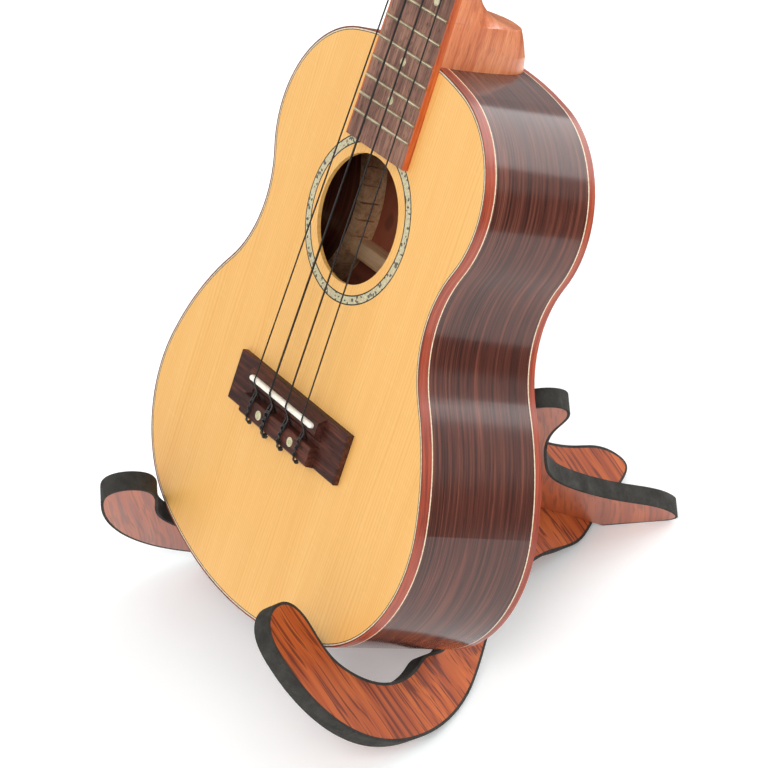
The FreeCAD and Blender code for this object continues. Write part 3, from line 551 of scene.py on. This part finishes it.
def string_knot(number):
    """Loop round the string in front of the tie block, its end laid back over the block, and
    the stopper knot behind it."""
    u, radius = tail_of(number)
    over = TIE_TOP + radius + CLEARANCE
    curve = bpy.data.curves.new("string_knot_%d" % number, "CURVE")
    curve.dimensions = "3D"
    curve.bevel_depth = MM
    curve.bevel_resolution = 3
    curve.use_fill_caps = True
    strand(curve, tied_end(u, radius, over), radius)
    front_centre = (u, TIE_FRONT + 1.0, over - 0.35)
    strand(curve, coil(front_centre, radius, 0.0, False), radius)
    back_centre = (u, TIE_BACK - 1.6 * radius - 0.5, 6.0)
    strand(curve, coil(back_centre, radius, 1.2, True), radius)
    curve.materials.append(MATERIALS["nylon"])
    knot = place_in_scene("string_knot_%d" % number, curve)
    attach(knot, body_of(NODES["bridge"])[0])


for number in STRINGS:
    string_knot(number)


# ================= light, floor and camera =================
TABLE_RADIUS = 0.5
FLOOR_RADIUS = 30.0
CIRCLE_STEPS = 96
WHITE = (1, 1, 1, 1)
FLOOR_GLOW = 0.2
BACKDROP_GLOW = 0.9
# heights and greys of the surround: dark below the horizon, which is at 0.5, and bright above it
SURROUND = ((0.48, 0.04), (0.53, 0.7))
LAMP_TARGET = (0, 0, 0.25)
# place, width and height in metres, and power in watts
SOFTBOXES = {
    "key": ((1.5, -1.5, 2.0), 1.1, 1.1, 32),
    "fill": ((-1.6, -1.8, 1.5), 1.2, 1.2, 9),
    "side": ((2.0, 0.4, 1.1), 0.7, 1.8, 3),
    "back": ((0.2, 2.0, 1.15), 2.2, 1.5, 30),
}
CAMERA_PLACE = from_ukulele(1067.2, 448.5, 852.3)
CAMERA_LOOK = U_AXIS * -0.7306 + V_AXIS * -0.2978 + W_AXIS * -0.6144
CAMERA_DOWN = U_AXIS * 0.4219 + V_AXIS * -0.9044 + W_AXIS * -0.0634
FIELD_OF_VIEW = math.radians(13.694)


def stage_piece(name, rings, material):
    """A piece of the studio made of level circles, each given by its radius and height."""
    points = []
    for radius, height in rings:
        for step in range(CIRCLE_STEPS):
            turn = 2 * math.pi * step / CIRCLE_STEPS
            points.append((radius * math.cos(turn), radius * math.sin(turn), height))
    if len(rings) == 1:
        faces = [tuple(range(CIRCLE_STEPS))]
    else:
        faces = [(step, (step + 1) % CIRCLE_STEPS, (step + 1) % CIRCLE_STEPS + CIRCLE_STEPS,
                  step + CIRCLE_STEPS) for step in range(CIRCLE_STEPS)]
    mesh = bpy.data.meshes.new(name)
    mesh.from_pydata(points, [], faces)
    mesh.materials.append(material)
    piece = place_in_scene(name, mesh)
    return piece


def studio():
    """Pale table top, the same floor beyond it, which the lacquer doesn't mirror, and a backdrop
    that only the camera sees."""
    floor = Surface("pale_floor", rough=0.55, specular=0.3)
    cloud = floor.noise(floor.local, 6.0, 3.0)
    floor.colour(floor.ramp(cloud, [(0.3, tint(242, 246, 246)), (0.7, tint(247, 250, 250))]))
    floor.set(floor.shader, {"Emission Color": WHITE, "Emission Strength": FLOOR_GLOW})
    stage_piece("table", [(TABLE_RADIUS, 0.0)], floor.material)
    beyond = stage_piece("floor", [(TABLE_RADIUS, 0.0), (FLOOR_RADIUS, 0.0)], floor.material)
    beyond.visible_glossy = False
    wall = Surface("pale_backdrop", rough=0.9, specular=0.0)
    cloud = wall.noise(wall.local, 0.2, 2.0)
    wall.colour(wall.ramp(cloud, [(0.3, tint(8, 8, 8)), (0.7, tint(14, 14, 14))]))
    wall.set(wall.shader, {"Emission Color": WHITE, "Emission Strength": BACKDROP_GLOW})
    backdrop = stage_piece("backdrop", [(FLOOR_RADIUS, 0.0), (FLOOR_RADIUS, FLOOR_RADIUS)],
                           wall.material)
    backdrop.visible_glossy = False
    backdrop.visible_diffuse = False
    backdrop.visible_transmission = False
    backdrop.visible_shadow = False


def softbox(name, place, width, height, power):
    lamp = bpy.data.lights.new(name, "AREA")
    lamp.shape = "RECTANGLE"
    lamp.size = width
    lamp.size_y = height
    lamp.energy = power
    holder = place_in_scene(name, lamp)
    holder.location = place
    toward = Vector(LAMP_TARGET) - Vector(place)
    holder.rotation_euler = toward.to_track_quat("-Z", "Y").to_euler()


def lights():
    """Surround light that changes at the horizon, and four soft lamps."""
    world = bpy.data.worlds.new("studio")
    world.use_nodes = True
    nodes = world.node_tree.nodes
    links = world.node_tree.links
    split = nodes.new("ShaderNodeSeparateXYZ")
    links.new(nodes.new("ShaderNodeTexCoord").outputs["Generated"], split.inputs[0])
    height = nodes.new("ShaderNodeMapRange")
    height.inputs["From Min"].default_value = -1.0
    links.new(split.outputs["Z"], height.inputs["Value"])
    shade = nodes.new("ShaderNodeValToRGB")
    for mark, (place, grey) in zip(shade.color_ramp.elements, SURROUND):
        mark.position = place
        mark.color = (grey, grey, grey, 1.0)
    links.new(height.outputs["Result"], shade.inputs["Fac"])
    links.new(shade.outputs["Color"], nodes["Background"].inputs["Color"])
    bpy.context.scene.world = world
    for name, (place, width, height, power) in SOFTBOXES.items():
        softbox(name, place, width, height, power)


def camera():
    data = bpy.data.cameras.new("camera")
    data.sensor_width = 36.0
    data.lens = data.sensor_width / (2 * math.tan(FIELD_OF_VIEW / 2))
    back = -CAMERA_LOOK.normalized()
    right = (-CAMERA_DOWN).cross(back).normalized()
    up = back.cross(right)
    turn = Matrix((right, up, back)).transposed()
    holder = place_in_scene("camera", data)
    holder.matrix_world = Matrix.Translation(CAMERA_PLACE) @ turn.to_4x4()
    bpy.context.scene.camera = holder


studio()
lights()
camera()
bpy.context.scene.view_settings.view_transform = "Standard"
